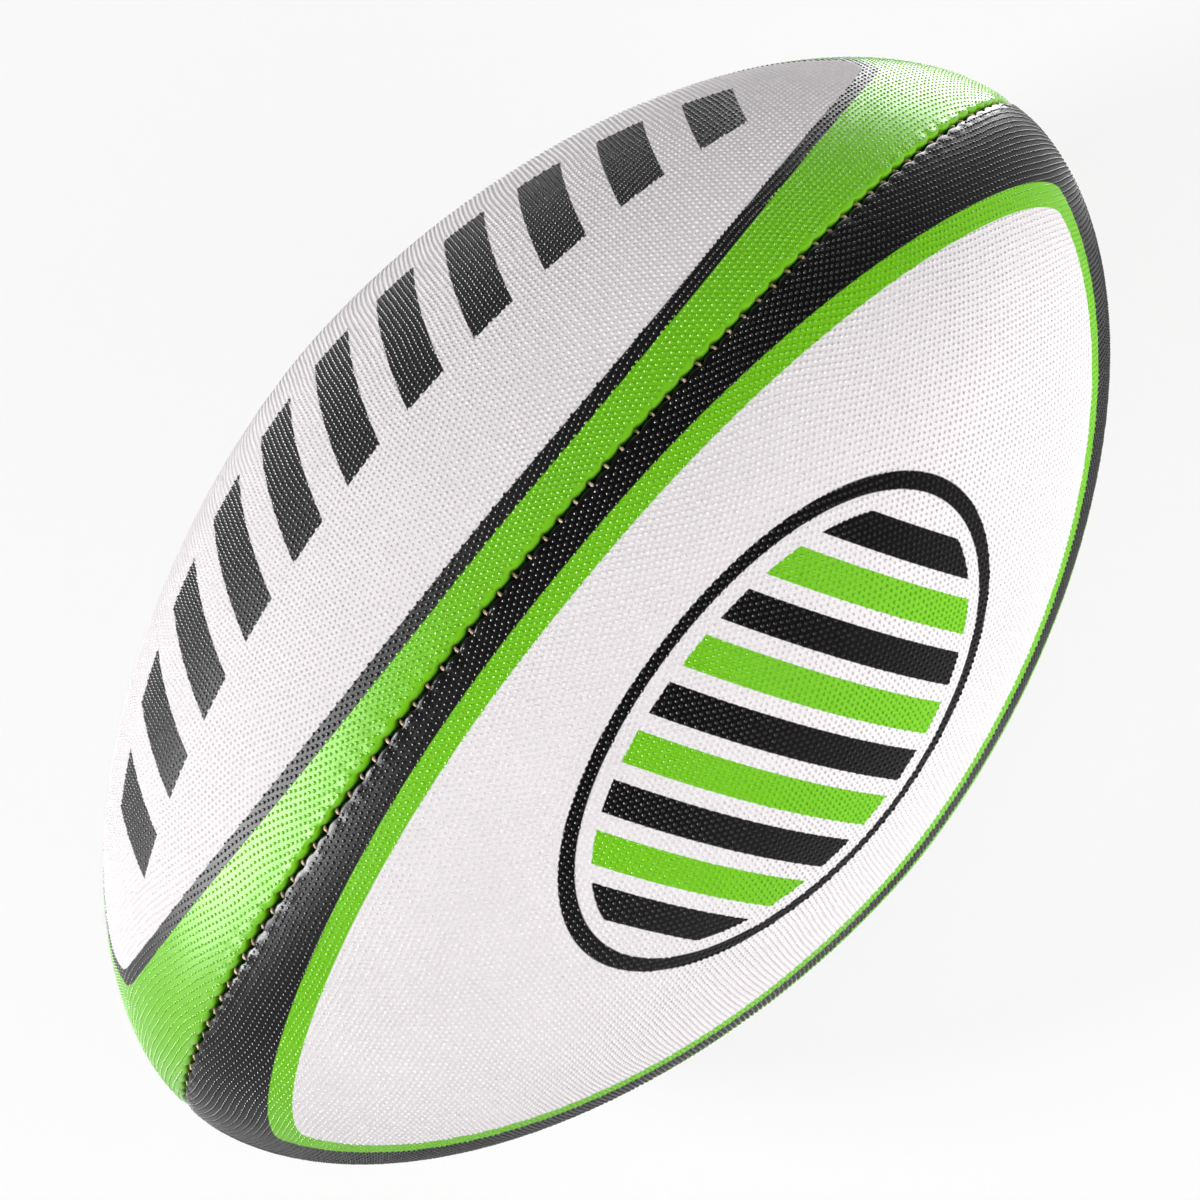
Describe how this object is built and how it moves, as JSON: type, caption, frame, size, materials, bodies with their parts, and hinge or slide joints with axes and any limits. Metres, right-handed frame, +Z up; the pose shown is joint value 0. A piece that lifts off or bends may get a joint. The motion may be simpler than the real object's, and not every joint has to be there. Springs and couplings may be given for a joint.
{
  "type": "rugby ball",
  "caption": "Stitched four-panel oval ball with a pimpled rubber cover, woven backing plies, sewn seams, an inflatable bladder and a needle valve with a plug that pulls out.",
  "frame": {"origin": "centre of the ball", "axes": "+X along the long axis from point to point, +Z up through the top seam, +Y through a side seam"},
  "size_m": [0.2816, 0.172, 0.172],
  "materials": {
    "green_edge_cover": "pimpled semi-gloss grip with a printed white field",
    "black_edge_cover": "pimpled semi-gloss grip with a printed white field",
    "outer_ply": "plain woven polyester",
    "inner_ply": "plain woven cotton",
    "waxed_thread": "waxed twist",
    "bladder_rubber": "thin smooth sheet",
    "valve_rubber": "moulded matte",
    "plug_rubber": "moulded satin"
  },
  "bodies": {
    "ball": {"cover_panel_1": "green_edge_cover", "cover_panel_2": "black_edge_cover", "cover_panel_3": "green_edge_cover", "cover_panel_4": "black_edge_cover", "outer_ply_1": "outer_ply", "outer_ply_2": "outer_ply", "outer_ply_3": "outer_ply", "outer_ply_4": "outer_ply", "inner_ply_1": "inner_ply", "inner_ply_2": "inner_ply", "inner_ply_3": "inner_ply", "inner_ply_4": "inner_ply", "seam_thread_1": "waxed_thread", "seam_thread_2": "waxed_thread", "seam_thread_3": "waxed_thread", "seam_thread_4": "waxed_thread", "bladder": "bladder_rubber", "valve_patch": "bladder_rubber", "valve_body": "valve_rubber"},
    "plug": {"valve_plug": "plug_rubber"}
  },
  "joints": [
    {"name": "plug_pull", "type": "slide", "parent": "ball", "child": "plug", "axis": [0, 0.7071, -0.7071], "range_m": [0, 0.02]}
  ]
}
